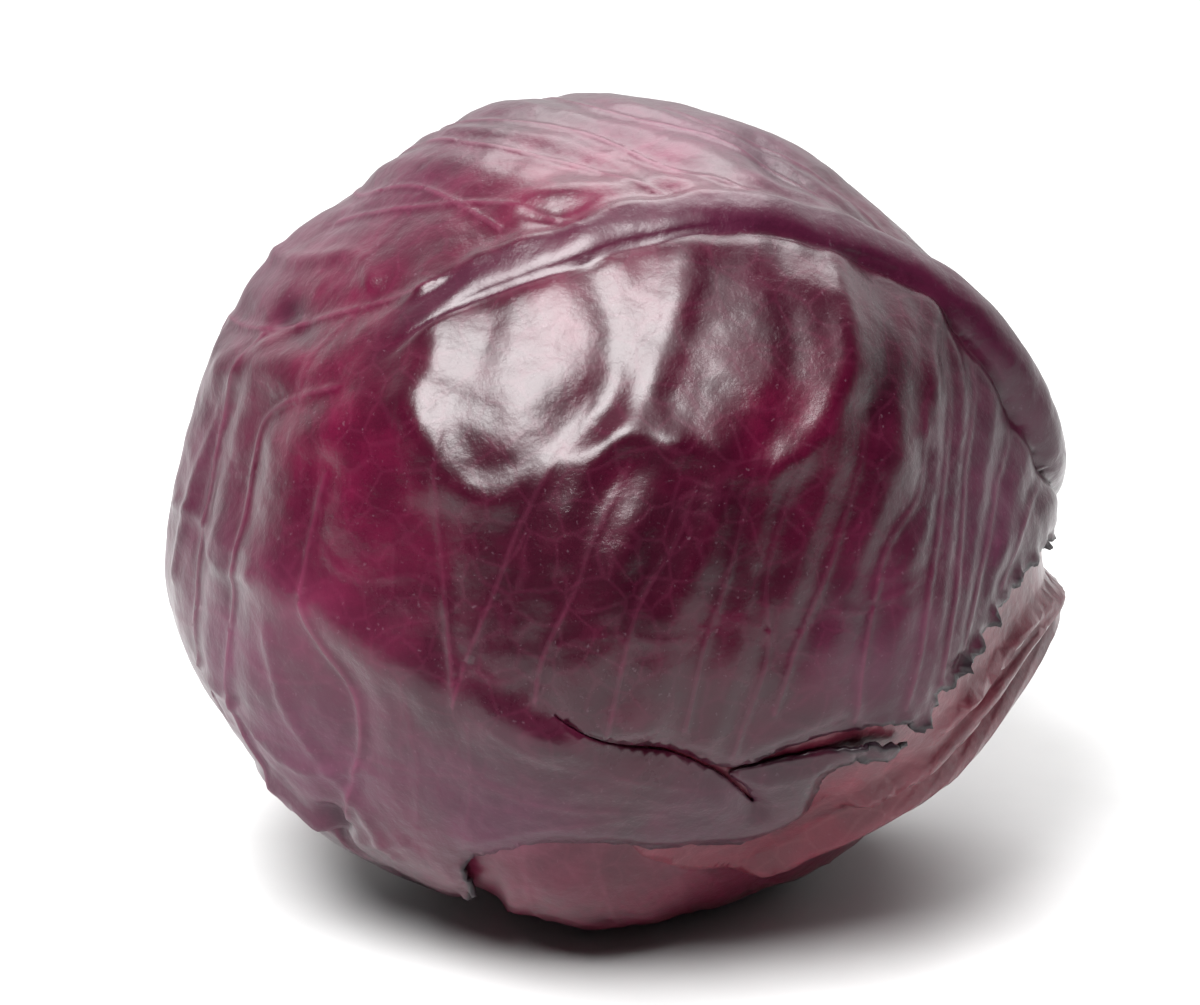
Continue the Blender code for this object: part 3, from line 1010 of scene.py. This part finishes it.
def build_heart(above):
    bpy.ops.mesh.primitive_ico_sphere_add(subdivisions=7, radius=1)
    made = bpy.context.object
    made.name = made.data.name = "packed_heart"
    directions = np.array([tuple(v.co.normalized()) for v in made.data.vertices])
    cover = sum((leaf.cover(directions) for leaf in above), np.zeros(len(directions)))
    down, near_rib = heart_relief(directions)
    from_stem = np.degrees(np.arccos(np.clip(directions @ STEM, -1, 1)))
    seat = (head_radius(directions) - (STEM_END - STEM_LENGTH - 1)) * (1 - smooth_steps(from_stem, 20, 32))
    rest = HEART_DEEP + LAYER * cover + SLACK * len(above) + down
    rest = rest - 0.8 * near_rib - 0.2 * lumps(directions, 6)
    depth = np.maximum(rest, seat)
    points = MIDDLE + directions * ((head_radius(directions) - depth) * MM)[:, None]
    made.data.vertices.foreach_set("co", points.ravel())
    # The step where each leaf ends is also darkened in the colour, as painted shade.
    step = np.exp(-(((down % HEART_STEP) - 0.45) ** 2) / 0.04) * (down > 0.02)
    masks = {"vein": near_rib * 0.6, "rib": near_rib * 0.3, "hollow_shade": 0.5 * step}
    masks |= {"dry": 0 * down, "flush": 0 * down, "bloom_and_reflection": 0.3 + 0 * down}
    for mask, values in masks.items():
        floats_on(made.data, mask, values)
    made.data.shade_smooth()
    print(f"heart: {len(points)} points, steps {HEART_STEP} mm high")
    return made


pieces["heart"] = build_heart(leaves)

# %% [markdown]
# ## The stump
# The head was cut from its stem with a knife. The cut face is a little hollow where it dried, with rings
# where the stem's woody layer lies under its skin, and the side carries the scars of the leaves that
# were pulled off. One outline of rings, swept round the stem's axis, makes all of it.

# %% The stump
STEM_RADIUS = 13.5
AROUND = 144
STUMP_OUTLINE = (
    *((-6.9, 2.0), (-6.9, 8.0), (-6.9, 12.2)),  # the hidden end, against the heart
    *((-6.4, 12.9), (-5.2, 12.8), (-3.8, 12.5), (-2.4, 12.4), (-1.0, 12.6), (0.4, 12.7)),
    *((1.8, 12.5), (3.2, 12.6), (4.4, 12.8), (5.4, 12.9), (6.1, 12.7)),  # up the side
    *((6.6, 12.2), (6.75, 11.4), (6.55, 10.6), (6.35, 9.8), (6.4, 9.0), (6.3, 8.0)),
    *((6.1, 6.8), (5.95, 5.6), (5.9, 4.2), (5.75, 2.8), (5.6, 1.4)),  # over the rim and across the cut
)


def build_stump():
    centre = np.array(sum(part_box("stem_stump"), Vector())) / 2
    side, other = across_stem()
    turns = np.arange(AROUND) / AROUND * 2 * np.pi
    spokes = np.cos(turns)[:, None] * side + np.sin(turns)[:, None] * other
    rings, ring_mask, bark = [], [], []
    for along, radius in STUMP_OUTLINE:
        on_side = -6.5 < along < 6.2 and radius > 12
        rough = lumps(spokes + STEM * along * 0.12, 9) * (0.35 if on_side else 0.12)
        scar = 0.35 * np.exp(-(((along - 3 * np.sin(3 * turns)) / 1.2) ** 2)) if on_side else 0
        out = np.minimum(radius + rough - scar, STEM_RADIUS - 0.1)
        sag = 0 if on_side else 0.12 * lumps(spokes * radius * 0.1 + STEM, 12)
        rings.append(centre + (spokes * out[:, None] + STEM * (along + sag * np.ones(AROUND))[:, None]) * MM)
        ring_mask.append(np.full(AROUND, np.exp(-(((radius - 9.4) / 0.8) ** 2)) if along > 5 else 0.0))
        bark.append(np.full(AROUND, 1.0 if on_side else 0.0))
    points = np.vstack(rings)
    ends = [centre + STEM * (STUMP_OUTLINE[0][0] * MM), centre + STEM * ((STUMP_OUTLINE[-1][0] - 0.1) * MM)]
    faces = []
    for i in range(AROUND):
        after = (i + 1) % AROUND
        for ring in range(len(rings) - 1):
            a, b = ring * AROUND, (ring + 1) * AROUND
            faces.append((a + i, b + i, b + after, a + after))
        last = (len(rings) - 1) * AROUND
        faces += [(len(points), i, after), (len(points) + 1, last + after, last + i)]
    mesh = bpy.data.meshes.new("cut_stump")
    mesh.from_pydata(np.vstack([points, ends]).tolist(), [], faces)
    solid = bmesh.new()
    solid.from_mesh(mesh)
    bmesh.ops.recalc_face_normals(solid, faces=solid.faces)
    solid.to_mesh(mesh)
    solid.free()
    floats_on(mesh, "ring", np.append(np.concatenate(ring_mask), [0, 0]))
    floats_on(mesh, "bark", np.append(np.concatenate(bark), [0, 0]))
    mesh.shade_smooth()
    made = bpy.data.objects.new("cut_stump", mesh)
    bpy.context.collection.objects.link(made)
    print(f"stump: {len(points) + 2} points, cut face about {2 * STEM_RADIUS:.0f} mm across")
    return made


pieces["stem_stump"] = build_stump()

# %% [markdown]
# ## Skins on
# Every piece gets its skin. It also takes the place of the plain CAD body that it was shaped after.

# %% Skins on
skins = {
    "outer_leaf": ("outer_leaf_skin", outer_skin),
    "under_leaf": ("under_leaf_skin", under_skin),
    "heart": ("heart_skin", heart_skin),
    "stem_stump": ("cut_stem", stem_skin),
}
for node, piece in pieces.items():
    slot, skin = skins.get(node, ("wrapper_leaf_skin", wrapper_skin))
    piece.data.materials.append(skin)
    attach(piece, "root")
    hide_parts(node)

# %% [markdown]
# ## Stage
# What is behind the head is white, and so is the floor that it lies on, so the skin turns pale and mauve
# wherever it faces down or away. The room in front is dark. The floor also shades to dark grey there,
# outside the camera's view, because a white one washes out the lower half of the glossy skin. A camera
# that looks from the side or the back sees the grey part. A bright round soft box hangs at the upper left
# in front, a wider and dimmer one above softens its edges, and one at the back draws the head's outline.

# %% Stage
VIEW_UP = 20
VIEW_FROM = 1.15
VIEW_WIDE = 0.2262
AIM = Vector(MIDDLE) + Vector((-4.2, 0, -0.4)) * MM
FLOOR_GREY = (0.16, 0.16, 0.16)
FLOOR_SHADES = (0.16, 0.55)  # from and to this far in front of the head, in metres


def looking_in(around, up, distance, thing):
    """Puts a camera or a light that way out from the head, and turns it to face the head."""
    outward = Vector(bearing(around, up))
    thing.location = AIM + outward * distance
    thing.rotation_euler = (-outward).to_track_quat("-Z", "Y").to_euler()
    bpy.context.scene.collection.objects.link(thing)
    return thing


def soft_box(name, around, up, distance, size, watts):
    light = bpy.data.lights.new(name, "AREA")
    light.energy, light.size, light.shape = watts, size, "DISK"
    return looking_in(around, up, distance, bpy.data.objects.new(name, light))


camera = bpy.data.cameras.new("camera")
camera.sensor_width = 36
camera.lens = camera.sensor_width * VIEW_FROM / VIEW_WIDE
bpy.context.scene.camera = looking_in(0, VIEW_UP, VIEW_FROM, bpy.data.objects.new("camera", camera))
soft_box("key", -28, 55, 0.9, 0.58, 18)
soft_box("key_rim", -14, 66, 1.0, 1.0, 8)
soft_box("behind", 170, 55, 1.3, 1.1, 16)

bpy.ops.mesh.primitive_plane_add(size=12)
floor = bpy.context.object
floor.name = "floor"
paper = Graph("white_paper")
on_floor = paper.node("TexCoord", output="Object")
grey = paper.cloud(on_floor, 40.0).between(0.2, 0.8)
to_viewer = -1 * paper.node("SeparateXYZ", sockets={"Vector": on_floor}, output="Y")
white = paper.mix((0.6, 0.6, 0.6), (0.63, 0.63, 0.63), grey)
shaded = paper.mix(white, FLOOR_GREY, to_viewer.between(*FLOOR_SHADES))
floor.data.materials.append(paper.finish({"Roughness": 0.8}, Base_Color=shaded))

world = bpy.data.worlds.new("studio")
bpy.context.scene.world = world
world.use_nodes = True
tree = world.node_tree
turn_of_sky = tree.nodes.new("ShaderNodeTexCoord")
split = tree.nodes.new("ShaderNodeSeparateXYZ")
spread = tree.nodes.new("ShaderNodeMapRange")
ramp = tree.nodes.new("ShaderNodeValToRGB")
spread.inputs["From Min"].default_value = -1
ramp.color_ramp.elements[0].position = 0.5
ramp.color_ramp.elements[0].color = (0.03, 0.03, 0.03, 1)
ramp.color_ramp.elements[1].position = 0.85
ramp.color_ramp.elements[1].color = (1.1, 1.1, 1.1, 1)
tree.links.new(turn_of_sky.outputs["Generated"], split.inputs[0])
tree.links.new(split.outputs["Y"], spread.inputs["Value"])
tree.links.new(spread.outputs[0], ramp.inputs[0])
tree.links.new(ramp.outputs[0], tree.nodes["Background"].inputs["Color"])
bpy.context.scene.view_settings.view_transform = "Standard"

# %% Sizes
print("CAD box:", [round(v, 4) for v in (*cad_low, *cad_high)])
